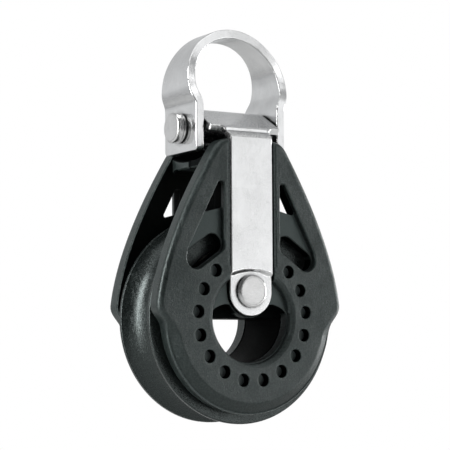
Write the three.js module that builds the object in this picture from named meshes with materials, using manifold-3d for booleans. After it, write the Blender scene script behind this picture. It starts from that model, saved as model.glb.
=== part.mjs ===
// Single sheave block: a ball-bearing pulley on a bow shackle.
// Millimetres. +Z is up, +Y is the sheave's axle, and the pin's head is on the -X side.
// The origin is the bearing point inside the crown of the shackle, and the block hangs below it.
import * as THREE from 'three';
import { mergeVertices } from 'three/addons/utils/BufferGeometryUtils.js';
import Module from 'manifold-3d';

const wasm = await Module();
wasm.setup();

// ---- clearances ----
const SEAT_GAP = 0.25; // between two pieces that are fastened face to face
const RUN_GAP = 0.5; // between the turning sheave and each cheek
const BALL_GAP = 0.1; // between a ball and each race
const PIN_GAP = 0.1; // between the pin and the holes that it passes through
const SWING_GAP = 0.4; // between the shackle's legs and the head
const JOIN_GAP = 0.3; // between the two cheeks, where their bridges meet

// ---- sheave and bearing ----
const SHEAVE_R = 20;
const SHEAVE_HALF_WIDTH = 6.1;
const GROOVE_DEPTH = 3.4;
const RIM_WIDTH = 0.8;
const BALL_R = 1.7;
const BALL_COUNT = 17; // in each of the two rows
const BALL_PITCH_R = 12.4;
const BALL_ROW_Y = 3.2;
const RACE_SHOULDER = 0.8; // how far the race's shoulders stand above its grooves

// ---- cheeks ----
const CHEEK_THICKNESS = 3.5;
const CHEEK_TOP = 33.7; // above the sheave's centre
const SHOULDER_HALF_WIDTH = 20.2; // across the tips at mid height
const LOWER_DISC_R = 18.2;
const EDGE_ROUND = 1.1;
const OPENING_R = 8.4;
const OPENING_ROUND = 1;
const RECESS_DEPTH = 1.5; // beside the strap's end, inside the opening's circle
const POCKET_DEPTH = 1.2;
const PORT_COUNT = 17; // places around the ring, of which the strap covers the top three
const PORT_R = 1.2;
const PORT_DEPTH = 1.6;
const PORT_RING_R = 11.86;
const BRIDGE_BOTTOM = 28.9; // above the sheave's centre
const BRIDGE_TOP = 31.4;
const BRIDGE_SAG = 1.1; // the dip in the middle of the bridge's top

// ---- head strap and rivet ----
const STRAP_WIDTH = 9.3;
const STRAP_THICKNESS = 1.3;
const STRAP_INSET = 0.2; // the strap's face lies this far below the cheek's face
const PAD_STEP = 0.5; // the round end is set this much deeper
const STEP_ABOVE_RIVET = 3.5; // the middle of the step between the panel and the round end
const STEP_LENGTH = 0.6;
const HEAD_WIDTH = 15.6;
const HEAD_SETBACK = 1.7; // the head's front edge lies this far behind the strap's face
const RIVET_Z = 5; // above the sheave's centre
const RIVET_R = 2.2;
const RIVET_HEAD_R = 3.15;
const RIVET_HEAD_HEIGHT = 0.6;

// ---- shackle and pin ----
const PIN_Z = 36.4; // above the sheave's centre
const PIN_R = 2.5;
const PIN_HEAD_LIP = 0.45;
const PIN_HEAD_HEIGHT = 1.9;
const SHACKLE_THICKNESS = 1.7;
const BOW_INNER_R = 9.4;
const BOW_CENTRE_ABOVE_PIN = 8.5;
const LEG_BELOW_PIN = 4.8;
const LEG_HALF_WIDTH = 6.15;
const NECK_ABOVE_PIN = 4.6; // where the straight legs end
const BOW_HALF_WIDTH = 5.2; // at the bow's centre
const CROWN_HALF_WIDTH = 3.1;

// ---- sizes that follow from the ones above ----
const cheekInner = SHEAVE_HALF_WIDTH + RUN_GAP;
const cheekFace = cheekInner + CHEEK_THICKNESS;
const recessFloor = cheekFace - RECESS_DEPTH;
const pocketFloor = cheekFace - POCKET_DEPTH;
const strapFace = cheekFace - STRAP_INSET;
const channelFloor = strapFace - STRAP_THICKNESS - SEAT_GAP;
const padFace = strapFace - PAD_STEP;
const padSeat = padFace - STRAP_THICKNESS - SEAT_GAP;
const channelHalf = STRAP_WIDTH / 2 + SEAT_GAP;
const bossR = channelHalf + 0.1;
const padR = STRAP_WIDTH / 2;
const innerRaceR = BALL_PITCH_R - BALL_R - BALL_GAP;
const outerRaceR = BALL_PITCH_R + BALL_R + BALL_GAP;
const hubHalf = cheekInner - SEAT_GAP;
const legInner = HEAD_WIDTH / 2 + SWING_GAP;
const legOuter = legInner + SHACKLE_THICKNESS;
const bowMidR = BOW_INNER_R + SHACKLE_THICKNESS / 2;
const crownInside = PIN_Z + BOW_CENTRE_ABOVE_PIN + BOW_INNER_R;
const archR = PIN_R + PIN_GAP + STRAP_THICKNESS;
const headReach = strapFace - HEAD_SETBACK;
const pinHeadR = PIN_R + PIN_HEAD_LIP;

// ---- turning three.js geometry into closed solids and back ----
function solid(geometry) {
  const bare = new THREE.BufferGeometry();
  bare.setAttribute('position', geometry.getAttribute('position'));
  bare.setIndex(geometry.getIndex());
  const merged = mergeVertices(bare, 1e-4);
  const positions = merged.getAttribute('position').array;
  const index = merged.getIndex().array;
  const triangles = [];
  let volume = 0;
  const a = new THREE.Vector3();
  const b = new THREE.Vector3();
  const c = new THREE.Vector3();
  for (let i = 0; i < index.length; i += 3) {
    const [p, q, r] = [index[i], index[i + 1], index[i + 2]];
    if (p === q || q === r || r === p) continue;
    triangles.push(p, q, r);
    a.fromArray(positions, 3 * p);
    b.fromArray(positions, 3 * q);
    c.fromArray(positions, 3 * r);
    volume += a.dot(b.cross(c));
  }
  if (volume < 0) triangles.reverse();
  return new wasm.Manifold(new wasm.Mesh({
    numProp: 3,
    vertProperties: new Float32Array(positions),
    triVerts: new Uint32Array(triangles),
  }));
}

function meshOf(name, shape, material) {
  const result = shape.getMesh();
  const geometry = new THREE.BufferGeometry();
  geometry.setAttribute('position', new THREE.BufferAttribute(result.vertProperties, 3));
  geometry.setIndex(new THREE.BufferAttribute(result.triVerts, 1));
  geometry.computeVertexNormals();
  const mesh = new THREE.Mesh(geometry, material);
  mesh.name = name;
  return mesh;
}

// A flat outline in X and Z, extruded along -Y from one depth to another.
function plate(outline, from, to, segments = 12) {
  const geometry = new THREE.ExtrudeGeometry(outline, {
    depth: to - from,
    bevelEnabled: false,
    curveSegments: segments,
  });
  geometry.translate(0, 0, from);
  geometry.rotateX(Math.PI / 2);
  return solid(geometry);
}

// A side view in Y and Z, extruded along X from one place to another.
function sideProfile(outline, from, to, segments = 12) {
  const geometry = new THREE.ExtrudeGeometry(outline, {
    depth: to - from,
    bevelEnabled: false,
    curveSegments: segments,
  });
  geometry.translate(0, 0, from);
  geometry.applyMatrix4(new THREE.Matrix4().makeBasis(
    new THREE.Vector3(0, 1, 0),
    new THREE.Vector3(0, 0, 1),
    new THREE.Vector3(1, 0, 0),
  ));
  return solid(geometry);
}

// A ring or disc turned about the Y axis: each point is a radius and a place along Y.
function turned(points, segments) {
  return solid(new THREE.LatheGeometry(points.map(([r, y]) => new THREE.Vector2(r, y)), segments));
}

// A round bar along Y, centred on x and z.
function barAlongY(radius, x, z, fromY, toY, segments) {
  const geometry = new THREE.CylinderGeometry(radius, radius, Math.abs(toY - fromY), segments);
  geometry.translate(x, (fromY + toY) / 2, z);
  return solid(geometry);
}

// The outline of a bent strip, from its middle line and its thickness.
function stripOutline(middle, thickness) {
  const sides = [[], []];
  for (let i = 0; i < middle.length; i += 1) {
    const before = middle[Math.max(i - 1, 0)];
    const after = middle[Math.min(i + 1, middle.length - 1)];
    const arriving = middle[i].clone().sub(before).normalize();
    const leaving = after.clone().sub(middle[i]).normalize();
    if (i === 0) arriving.copy(leaving);
    if (i === middle.length - 1) leaving.copy(arriving);
    const along = arriving.clone().add(leaving).normalize();
    const across = new THREE.Vector2(-along.y, along.x);
    const reach = thickness / 2 / Math.max(along.dot(leaving), 0.5);
    sides[0].push(middle[i].clone().addScaledVector(across, reach));
    sides[1].push(middle[i].clone().addScaledVector(across, -reach));
  }
  return new THREE.Shape(sides[0].concat(sides[1].reverse()));
}

function arcPoints(centreX, centreY, radius, fromAngle, toAngle, count) {
  const points = [];
  for (let i = 0; i <= count; i += 1) {
    const angle = fromAngle + (toAngle - fromAngle) * i / count;
    points.push(new THREE.Vector2(centreX + radius * Math.cos(angle), centreY + radius * Math.sin(angle)));
  }
  return points;
}

function mirrored(points) {
  return points.map((p) => new THREE.Vector2(-p.x, p.y)).reverse();
}

// ---- cheeks ----
// Half of the cheek's teardrop outline, from the top's middle down to the shoulder's tip
// and back in towards the lower disc.
function cheekOutline() {
  const half = SHOULDER_HALF_WIDTH;
  const outline = new THREE.Shape();
  outline.moveTo(0, CHEEK_TOP);
  outline.lineTo(5, CHEEK_TOP);
  outline.bezierCurveTo(7, CHEEK_TOP, 7.8, 32.4, 8.6, 31);
  outline.bezierCurveTo(0.68 * half, 22.5, half - 1.2, 12, half, 2.6);
  outline.bezierCurveTo(half + 0.15, 1.2, half - 0.8, 0.4, half - 1.7, -0.8);
  outline.quadraticCurveTo(LOWER_DISC_R - 0.6, -1.9, LOWER_DISC_R - 1.6, -3.8);
  outline.bezierCurveTo(LOWER_DISC_R - 2.4, -5.4, LOWER_DISC_R - 4.2, -7.2, LOWER_DISC_R - 6.8, -7.4);
  const right = outline.getPoints(5);
  return new THREE.Shape(right.concat(mirrored(right).slice(0, -1)));
}

function teardropPlate() {
  const geometry = new THREE.ExtrudeGeometry(cheekOutline(), {
    depth: CHEEK_THICKNESS,
    bevelEnabled: true,
    bevelThickness: EDGE_ROUND,
    bevelSize: EDGE_ROUND,
    bevelOffset: -EDGE_ROUND,
    bevelSegments: 2,
  });
  geometry.translate(0, 0, cheekFace - CHEEK_THICKNESS - EDGE_ROUND);
  geometry.rotateX(Math.PI / 2);
  const keep = new THREE.BoxGeometry(60, CHEEK_THICKNESS + 1, 100);
  keep.translate(0, -(cheekInner + (CHEEK_THICKNESS + 1) / 2), 0);
  return solid(geometry).intersect(solid(keep));
}

function lowerDisc() {
  return turned([
    [0, -cheekInner],
    [LOWER_DISC_R, -cheekInner],
    [LOWER_DISC_R, -(cheekFace - 1.45)],
    [LOWER_DISC_R - 0.35, -(cheekFace - 1.15)],
    [LOWER_DISC_R - 2.3, -cheekFace],
    [0, -cheekFace],
  ], 56);
}

// Half of the bar that joins the cheeks above the rope, seen from the side.
function bridgeHalf() {
  const end = -JOIN_GAP / 2;
  const wall = -cheekInner - 0.5;
  const outline = new THREE.Shape();
  outline.moveTo(end, BRIDGE_BOTTOM);
  outline.lineTo(end, BRIDGE_TOP - BRIDGE_SAG);
  outline.quadraticCurveTo(wall / 2, BRIDGE_TOP - BRIDGE_SAG, wall, BRIDGE_TOP);
  outline.lineTo(wall, BRIDGE_BOTTOM - 1.5);
  outline.quadraticCurveTo(-cheekInner + 0.3, BRIDGE_BOTTOM, -cheekInner + 1.6, BRIDGE_BOTTOM);
  const half = HEAD_WIDTH / 2 + SWING_GAP - 0.3;
  return sideProfile(outline, -half, half, 3);
}

// The through opening: a circle whose top is closed by the boss and a hump on each side.
function openingOutline() {
  const start = Math.asin(0.6 / OPENING_R);
  const meetX = bossR * 0.86;
  const meetZ = RIVET_Z - Math.sqrt(bossR * bossR - meetX * meetX);
  const bossAngle = Math.atan2(meetZ - RIVET_Z, meetX);
  const outline = new THREE.Shape();
  outline.absarc(0, 0, OPENING_R, start, Math.PI - start, true);
  outline.quadraticCurveTo(-OPENING_R + 0.9, meetZ + 0.2, -meetX - 0.8, meetZ + 0.1);
  outline.lineTo(-meetX, meetZ);
  outline.absarc(0, RIVET_Z, bossR, Math.PI - bossAngle, 2 * Math.PI + bossAngle, false);
  outline.lineTo(meetX + 0.8, meetZ + 0.1);
  outline.quadraticCurveTo(OPENING_R - 0.9, meetZ + 0.2, OPENING_R * Math.cos(start), 0.6);
  return outline;
}

// The triangular pocket beside the strap, for the side that +X or -X names.
function pocketOutline(side) {
  const inner = channelHalf + 1.35;
  const points = [
    [inner, 25.5],
    [inner + 1, 25.5],
    [14.1, 12.4],
    [13.9, 10.4],
    [12.2, 9.2],
    [inner, 13.2],
  ];
  return new THREE.Shape(points.map(([x, z]) => new THREE.Vector2(side * x, z)));
}

function windowOutline(side) {
  const inner = channelHalf + 1.35;
  const points = [
    [inner, 25.5],
    [inner + 1, 25.5],
    [10.4, 19.5],
    [inner, 20.6],
  ];
  return new THREE.Shape(points.map(([x, z]) => new THREE.Vector2(side * x, z)));
}

function slotOutline(side) {
  const upper = new THREE.Vector2(8.1, 13.8);
  const lower = new THREE.Vector2(12.2, 11);
  const tilt = Math.atan2(lower.y - upper.y, lower.x - upper.x);
  const radius = 1.85;
  const round = arcPoints(upper.x, upper.y, radius, tilt + Math.PI / 2, tilt + 1.5 * Math.PI, 5)
    .concat(arcPoints(lower.x, lower.y, radius, tilt - Math.PI / 2, tilt + Math.PI / 2, 5));
  return new THREE.Shape(round.map((p) => new THREE.Vector2(side * p.x, p.y)));
}

function strapChannel() {
  const straight = new THREE.BoxGeometry(2 * channelHalf, 4, 40);
  straight.translate(0, -(channelFloor + 2), RIVET_Z + 20);
  const padCut = new THREE.Shape();
  const stepTop = RIVET_Z + STEP_ABOVE_RIVET + STEP_LENGTH / 2 + SEAT_GAP;
  padCut.moveTo(channelHalf, stepTop);
  padCut.lineTo(-channelHalf, stepTop);
  padCut.lineTo(-channelHalf, RIVET_Z);
  padCut.absarc(0, RIVET_Z, channelHalf, Math.PI, 2 * Math.PI, false);
  return solid(straight).add(plate(padCut, padSeat, cheekFace + 1, 16));
}

function openingRound() {
  const face = -cheekFace;
  return turned([
    [0, face + OPENING_ROUND],
    [OPENING_R, face + OPENING_ROUND],
    [OPENING_R + OPENING_ROUND * 0.3, face + OPENING_ROUND * 0.3],
    [OPENING_R + OPENING_ROUND, face],
    [OPENING_R + OPENING_ROUND, face - 1],
    [0, face - 1],
  ], 40);
}

function makeCheek() {
  let cheek = teardropPlate().add(lowerDisc()).add(bridgeHalf());
  cheek = cheek.subtract(strapChannel());
  cheek = cheek.subtract(barAlongY(OPENING_R, 0, 0, -recessFloor, -cheekFace - 1, 40));
  cheek = cheek.subtract(openingRound());
  cheek = cheek.subtract(plate(openingOutline(), cheekInner - 1, cheekFace + 1, 14));
  cheek = cheek.subtract(barAlongY(RIVET_R + SEAT_GAP, 0, RIVET_Z, 0, -cheekFace, 20));
  for (const side of [-1, 1]) {
    cheek = cheek.subtract(plate(pocketOutline(side), pocketFloor, cheekFace + 1));
    cheek = cheek.subtract(plate(windowOutline(side), cheekInner - 1, cheekFace + 1));
    cheek = cheek.subtract(plate(slotOutline(side), cheekInner - 1, cheekFace + 1));
    for (let i = 0; i < (PORT_COUNT - 3) / 2; i += 1) {
      const angle = side * (i + 0.5) * 2 * Math.PI / PORT_COUNT;
      const x = PORT_RING_R * Math.sin(angle);
      const z = -PORT_RING_R * Math.cos(angle);
      cheek = cheek.subtract(barAlongY(PORT_R, x, z, -(cheekFace - PORT_DEPTH), -cheekFace - 1, 10));
    }
  }
  return cheek;
}

// ---- bearing and sheave ----
function makeInnerRace() {
  const shoulder = innerRaceR + RACE_SHOULDER;
  const grooveIn = BALL_ROW_Y - BALL_R - 2 * BALL_GAP;
  const grooveOut = BALL_ROW_Y + BALL_R + 2 * BALL_GAP;
  const race = turned([
    [0, -hubHalf],
    [shoulder, -hubHalf],
    [shoulder, -grooveOut],
    [innerRaceR, -grooveOut],
    [innerRaceR, -grooveIn],
    [shoulder, -grooveIn],
    [shoulder, grooveIn],
    [innerRaceR, grooveIn],
    [innerRaceR, grooveOut],
    [shoulder, grooveOut],
    [shoulder, hubHalf],
    [0, hubHalf],
  ], 48);
  const opening = new THREE.Shape();
  opening.absarc(0, 0, OPENING_R, Math.PI, 2 * Math.PI, false);
  return race
    .subtract(plate(opening, -hubHalf - 1, hubHalf + 1, 20))
    .subtract(barAlongY(RIVET_R + SEAT_GAP, 0, RIVET_Z, -hubHalf - 1, hubHalf + 1, 20));
}

function makeSheave() {
  const side = SHEAVE_HALF_WIDTH;
  const half = side - RIM_WIDTH;
  const grooveR = (half * half + GROOVE_DEPTH * GROOVE_DEPTH) / (2 * GROOVE_DEPTH);
  const centreR = SHEAVE_R - GROOVE_DEPTH + grooveR;
  const spread = Math.asin(half / grooveR);
  const profile = [
    [outerRaceR, -side + 0.4],
    [outerRaceR + 0.4, -side],
    [SHEAVE_R - 0.3, -side],
    [SHEAVE_R, -side + 0.3],
  ];
  for (let i = 0; i <= 8; i += 1) {
    const angle = spread * (i / 4 - 1);
    profile.push([centreR - grooveR * Math.cos(angle), grooveR * Math.sin(angle)]);
  }
  profile.push([SHEAVE_R, side - 0.3]);
  profile.push([SHEAVE_R - 0.3, side]);
  profile.push([outerRaceR + 0.4, side]);
  profile.push([outerRaceR, side - 0.4]);
  profile.push([outerRaceR, -side + 0.4]);
  return turned(profile, 60);
}

// ---- head strap and rivet ----
// One bent strip: down the front cheek, over the pin and down the rear cheek.
function strapMiddle() {
  const half = STRAP_THICKNESS / 2;
  const midArch = archR - half;
  const edgeZ = PIN_Z - 0.3;
  const lean = Math.atan2(PIN_Z - edgeZ, headReach);
  const rise = Math.asin(archR / Math.hypot(headReach, PIN_Z - edgeZ)) + lean;
  const padEnd = new THREE.Vector2(-(padFace - half), RIVET_Z - padR - 1);
  const padTop = new THREE.Vector2(-(padFace - half), RIVET_Z + STEP_ABOVE_RIVET - STEP_LENGTH / 2);
  const panelStart = new THREE.Vector2(-(strapFace - half), RIVET_Z + STEP_ABOVE_RIVET + STEP_LENGTH / 2);
  const panelTop = new THREE.Vector2(-(strapFace - half), CHEEK_TOP);
  const shoulder = new THREE.Vector2(-(headReach - 0.2), CHEEK_TOP + 1.25);
  const edge = new THREE.Vector2(-(headReach - half * Math.sin(rise)), edgeZ - half * Math.cos(rise));
  const front = [padEnd, padTop, panelStart, panelTop, shoulder, edge]
    .concat(arcPoints(0, PIN_Z, midArch, Math.PI / 2 + rise, Math.PI / 2, 4));
  return front.concat(mirrored(front).slice(1));
}

// The strip seen from the front: a narrow panel, a round end below and a wide head above.
function strapFront() {
  const half = STRAP_WIDTH / 2;
  const wing = HEAD_WIDTH / 2;
  const outline = new THREE.Shape();
  outline.absarc(0, RIVET_Z, half, Math.PI, 2 * Math.PI, false);
  outline.lineTo(half, CHEEK_TOP);
  outline.quadraticCurveTo(half + 0.1, CHEEK_TOP + 1.2, half + 1.2, CHEEK_TOP + 1.3);
  outline.lineTo(wing - 0.3, CHEEK_TOP + 1.4);
  outline.lineTo(wing, CHEEK_TOP + 1.8);
  outline.lineTo(wing, PIN_Z + 6);
  outline.lineTo(-wing, PIN_Z + 6);
  outline.lineTo(-wing, CHEEK_TOP + 1.8);
  outline.lineTo(-wing + 0.3, CHEEK_TOP + 1.4);
  outline.lineTo(-half - 1.2, CHEEK_TOP + 1.3);
  outline.quadraticCurveTo(-half - 0.1, CHEEK_TOP + 1.2, -half, CHEEK_TOP);
  return outline;
}

function makeHeadStrap() {
  const reach = HEAD_WIDTH / 2 + 1;
  const strip = sideProfile(stripOutline(strapMiddle(), STRAP_THICKNESS), -reach, reach);
  return strip
    .intersect(plate(strapFront(), -cheekFace - 2, cheekFace + 2, 14))
    .subtract(barAlongY(RIVET_R + SEAT_GAP, 0, RIVET_Z, -cheekFace - 2, cheekFace + 2, 20));
}

function rivetHeadProfile() {
  const base = padFace + SEAT_GAP;
  const top = base + RIVET_HEAD_HEIGHT;
  return { base, top };
}

function makeRivet() {
  const { base, top } = rivetHeadProfile();
  return turned([
    [0, -top],
    [RIVET_HEAD_R - 0.2, -top],
    [RIVET_HEAD_R, -top + 0.2],
    [RIVET_HEAD_R, -base],
    [RIVET_R, -base],
    [RIVET_R, base - SEAT_GAP],
    [0, base - SEAT_GAP],
  ], 28).translate([0, 0, RIVET_Z]);
}

function makeRivetCollar() {
  const { base, top } = rivetHeadProfile();
  return turned([
    [0, base],
    [RIVET_HEAD_R, base],
    [RIVET_HEAD_R, top - 0.2],
    [RIVET_HEAD_R - 0.2, top],
    [0, top],
  ], 28).translate([0, 0, RIVET_Z]);
}

// ---- shackle and pin ----
function shackleMiddle() {
  const legX = legInner + SHACKLE_THICKNESS / 2;
  const centreZ = PIN_Z + BOW_CENTRE_ABOVE_PIN;
  const startAngle = -0.12;
  const start = new THREE.Vector2(bowMidR * Math.cos(startAngle), centreZ + bowMidR * Math.sin(startAngle));
  const neck = new THREE.CubicBezierCurve(
    new THREE.Vector2(legX, PIN_Z + NECK_ABOVE_PIN - 1),
    new THREE.Vector2(legX, PIN_Z + NECK_ABOVE_PIN + 0.8),
    new THREE.Vector2(start.x - 0.25, start.y - 1.6),
    start,
  ).getPoints(5);
  const right = [new THREE.Vector2(legX, PIN_Z - LEG_BELOW_PIN)].concat(
    neck.slice(0, -1),
    arcPoints(0, centreZ, bowMidR, startAngle, Math.PI / 2, 11),
  );
  return right.concat(mirrored(right).slice(1));
}

// The shackle seen from the side: wide legs, narrower towards the crown.
function shackleSide() {
  const bottom = PIN_Z - LEG_BELOW_PIN;
  const neck = PIN_Z + NECK_ABOVE_PIN;
  const centre = PIN_Z + BOW_CENTRE_ABOVE_PIN;
  const crown = centre + BOW_INNER_R + SHACKLE_THICKNESS;
  const corner = 0.8;
  const right = new THREE.Shape();
  right.moveTo(0, bottom);
  right.lineTo(LEG_HALF_WIDTH - corner, bottom);
  right.quadraticCurveTo(LEG_HALF_WIDTH, bottom, LEG_HALF_WIDTH, bottom + corner);
  right.lineTo(LEG_HALF_WIDTH, neck - 0.6);
  right.quadraticCurveTo(LEG_HALF_WIDTH, neck + 0.8, BOW_HALF_WIDTH, centre);
  const waist = BOW_HALF_WIDTH - 0.9;
  right.bezierCurveTo(waist, centre + 4.5, CROWN_HALF_WIDTH, crown - 3.5, CROWN_HALF_WIDTH, crown + 1);
  const points = right.getPoints(5);
  return new THREE.Shape(points.concat(mirrored(points).slice(0, -1)));
}

function barAlongX(radius, fromX, toX, segments) {
  const geometry = new THREE.CylinderGeometry(radius, radius, toX - fromX, segments);
  geometry.rotateZ(Math.PI / 2);
  geometry.translate((fromX + toX) / 2, 0, PIN_Z);
  return solid(geometry);
}

function makeShackle() {
  const reach = LEG_HALF_WIDTH + 1;
  const strip = plate(stripOutline(shackleMiddle(), SHACKLE_THICKNESS), -reach, reach);
  return strip
    .intersect(sideProfile(shackleSide(), -20, 20))
    .subtract(barAlongX(PIN_R + PIN_GAP, -20, 20, 28));
}

function makePin() {
  const base = legOuter + SEAT_GAP;
  const pin = new THREE.LatheGeometry([
    [0, -legOuter],
    [PIN_R - 0.3, -legOuter],
    [PIN_R, -legOuter + 0.3],
    [PIN_R, base],
    [pinHeadR, base],
    [pinHeadR, base + PIN_HEAD_HEIGHT - 0.4],
    [pinHeadR - 0.4, base + PIN_HEAD_HEIGHT],
    [0, base + PIN_HEAD_HEIGHT],
  ].map(([r, y]) => new THREE.Vector2(r, y)), 28);
  pin.rotateZ(Math.PI / 2);
  pin.translate(0, 0, PIN_Z);
  return solid(pin);
}

// ---- materials ----
function steel() {
  return new THREE.MeshStandardMaterial({ color: 0xd9dcdd, roughness: 0.22, metalness: 1 });
}

function cheekNylon() {
  return new THREE.MeshStandardMaterial({ color: 0x2b3130, roughness: 0.55, metalness: 0 });
}

function sheaveNylon() {
  return new THREE.MeshStandardMaterial({ color: 0x232727, roughness: 0.45, metalness: 0 });
}

function acetal() {
  return new THREE.MeshStandardMaterial({ color: 0xe8e6de, roughness: 0.3, metalness: 0 });
}

// ---- assembly ----
const block = new THREE.Group();
block.position.z = -crownInside;

const frontCheek = meshOf('front_cheek', makeCheek(), cheekNylon());
const rearCheek = meshOf('rear_cheek', makeCheek(), cheekNylon());
rearCheek.rotation.z = Math.PI;
block.add(frontCheek, rearCheek);
block.add(meshOf('inner_race', makeInnerRace(), cheekNylon()));
block.add(meshOf('sheave', makeSheave(), sheaveNylon()));
block.add(meshOf('head_strap', makeHeadStrap(), steel()));
block.add(meshOf('rivet', makeRivet(), steel()));
block.add(meshOf('rivet_collar', makeRivetCollar(), steel()));
block.add(meshOf('shackle', makeShackle(), steel()));
block.add(meshOf('shackle_pin', makePin(), steel()));

for (const [row, y] of [['front', -BALL_ROW_Y], ['rear', BALL_ROW_Y]]) {
  for (let i = 0; i < BALL_COUNT; i += 1) {
    const angle = 2 * Math.PI * i / BALL_COUNT;
    const ball = meshOf(
      `ball_${row}_${String(i + 1).padStart(2, '0')}`,
      solid(new THREE.IcosahedronGeometry(BALL_R, 1)),
      acetal(),
    );
    ball.position.set(BALL_PITCH_R * Math.sin(angle), y, -BALL_PITCH_R * Math.cos(angle));
    block.add(ball);
  }
}

const part = new THREE.Group();
part.add(block);
export default part;
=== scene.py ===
# %% [markdown]
# # A single sheave block
# This block is a small ball-bearing pulley from a sailing boat. Two moulded nylon cheeks
# stand either side of a grooved wheel, the sheave, and a bent steel strap holds them
# together over the top. A steel shackle swings on a pin under the strap, and the block
# hangs from it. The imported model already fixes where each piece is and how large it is,
# so this lesson starts by loading that model, and then makes a finer version of each piece.

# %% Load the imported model
import math
import bmesh
import bpy
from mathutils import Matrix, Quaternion, Vector


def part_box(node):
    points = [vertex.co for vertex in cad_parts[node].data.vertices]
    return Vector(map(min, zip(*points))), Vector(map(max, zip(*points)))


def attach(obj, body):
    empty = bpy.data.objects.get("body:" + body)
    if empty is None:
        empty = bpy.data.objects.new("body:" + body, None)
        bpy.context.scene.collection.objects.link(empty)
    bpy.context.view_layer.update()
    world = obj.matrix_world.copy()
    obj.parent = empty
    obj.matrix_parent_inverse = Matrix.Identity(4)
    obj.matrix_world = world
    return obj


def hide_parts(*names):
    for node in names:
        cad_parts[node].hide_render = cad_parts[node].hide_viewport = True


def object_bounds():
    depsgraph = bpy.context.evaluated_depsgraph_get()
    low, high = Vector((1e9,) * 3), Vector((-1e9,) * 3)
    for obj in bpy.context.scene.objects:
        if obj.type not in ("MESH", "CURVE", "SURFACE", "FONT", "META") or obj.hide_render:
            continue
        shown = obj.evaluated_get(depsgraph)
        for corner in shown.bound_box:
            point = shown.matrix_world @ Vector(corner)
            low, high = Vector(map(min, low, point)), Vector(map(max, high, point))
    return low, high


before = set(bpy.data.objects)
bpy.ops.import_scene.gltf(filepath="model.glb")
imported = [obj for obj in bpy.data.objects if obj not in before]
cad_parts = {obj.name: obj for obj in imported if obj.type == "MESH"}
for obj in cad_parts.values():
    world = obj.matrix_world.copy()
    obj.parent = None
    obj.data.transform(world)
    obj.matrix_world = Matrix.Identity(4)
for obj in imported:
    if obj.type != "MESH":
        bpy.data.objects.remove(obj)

packed_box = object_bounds()
print("nodes", len(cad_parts), "box", packed_box)

# %% [markdown]
# ## A bench in millimetres
# The pieces are a few millimetres across, and some of their edges are rounded by a tenth
# of that. Blender's tools for cutting and merging have tolerances that suit objects of a
# metre or so. So each piece is modelled on a bench where one unit is a millimetre and the
# sheave's centre is the origin, and is then scaled and moved to its place in one go. X is
# to the right, Y goes back and Z goes up, so the front of the block faces along -Y.

# %% Where the bench is
MM = 0.001
sheave_low, sheave_high = [Vector(corner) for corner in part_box("sheave")]
axle = (sheave_low + sheave_high) / 2
print("axle at", tuple(round(v, 4) for v in axle))


def node_mm(node):
    """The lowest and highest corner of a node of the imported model, on the bench."""
    return [(Vector(corner) - axle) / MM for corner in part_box(node)]


# %% Selecting, as by hand
def nothing_selected():
    if bpy.context.mode != "OBJECT":
        bpy.ops.object.mode_set(mode="OBJECT")
    bpy.ops.object.select_all(action="DESELECT")
    bpy.context.view_layer.objects.active = None


def only(piece):
    nothing_selected()
    piece.select_set(True)
    bpy.context.view_layer.objects.active = piece


nothing_selected()
print("nothing is selected")

# %% [markdown]
# ## Outlines
# Most pieces start as a flat outline of points. An outline is drawn from straight lines,
# arcs and curves, as on a drawing board. Two helpers change a whole outline. One rounds
# its corners, each by its own radius, and the other moves it inwards or outwards, which
# is how rounded edges and softened lips are made later.

# %% Arcs and curves
def arc(centre, radius, start, end, steps):
    """Points on an arc, with the angles in degrees."""
    points = []
    for i in range(steps + 1):
        angle = math.radians(start + (end - start) * i / steps)
        x, z = centre[0] + radius * math.cos(angle), centre[1] + radius * math.sin(angle)
        points.append(Vector((x, z)))
    return points


def curve(a, b, c, d, steps):
    """Points on a curve from a to d, which leaves towards b and arrives from c."""
    points = []
    for i in range(steps + 1):
        t = i / steps
        s = 1 - t
        points.append(s**3 * Vector(a) + 3 * s * s * t * Vector(b) + 3 * s * t * t * Vector(c) + t**3 * Vector(d))
    return points


def spaced(points, gap):
    """The same open line with its points evenly spaced."""
    lengths = [0.0]
    for a, b in zip(points, points[1:]):
        lengths.append(lengths[-1] + (b - a).length)
    count = max(2, round(lengths[-1] / gap))
    result, k = [], 0
    for i in range(count + 1):
        goal = lengths[-1] * i / count
        while k < len(points) - 2 and lengths[k + 1] < goal:
            k += 1
        part = (goal - lengths[k]) / max(lengths[k + 1] - lengths[k], 1e-9)
        result.append(points[k].lerp(points[k + 1], min(max(part, 0), 1)))
    return result


# %% Rounding and moving an outline
def rounded(corners, steps=5):
    """A closed outline from corners (x, z, radius)."""
    result = []
    for i, corner in enumerate(corners):
        here = Vector(corner[:2])
        back = (Vector(corners[i - 1][:2]) - here).normalized()
        ahead = (Vector(corners[(i + 1) % len(corners)][:2]) - here).normalized()
        half = math.acos(max(-1, min(1, back.dot(ahead)))) / 2
        centre = here + (back + ahead).normalized() * corner[2] / math.sin(half)
        first = here + back * corner[2] / math.tan(half) - centre
        last = here + ahead * corner[2] / math.tan(half) - centre
        turn = first.angle_signed(last)
        for k in range(steps + 1):
            angle = math.atan2(first.y, first.x) - turn * k / steps
            result.append(centre + corner[2] * Vector((math.cos(angle), math.sin(angle))))
    return result


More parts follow.
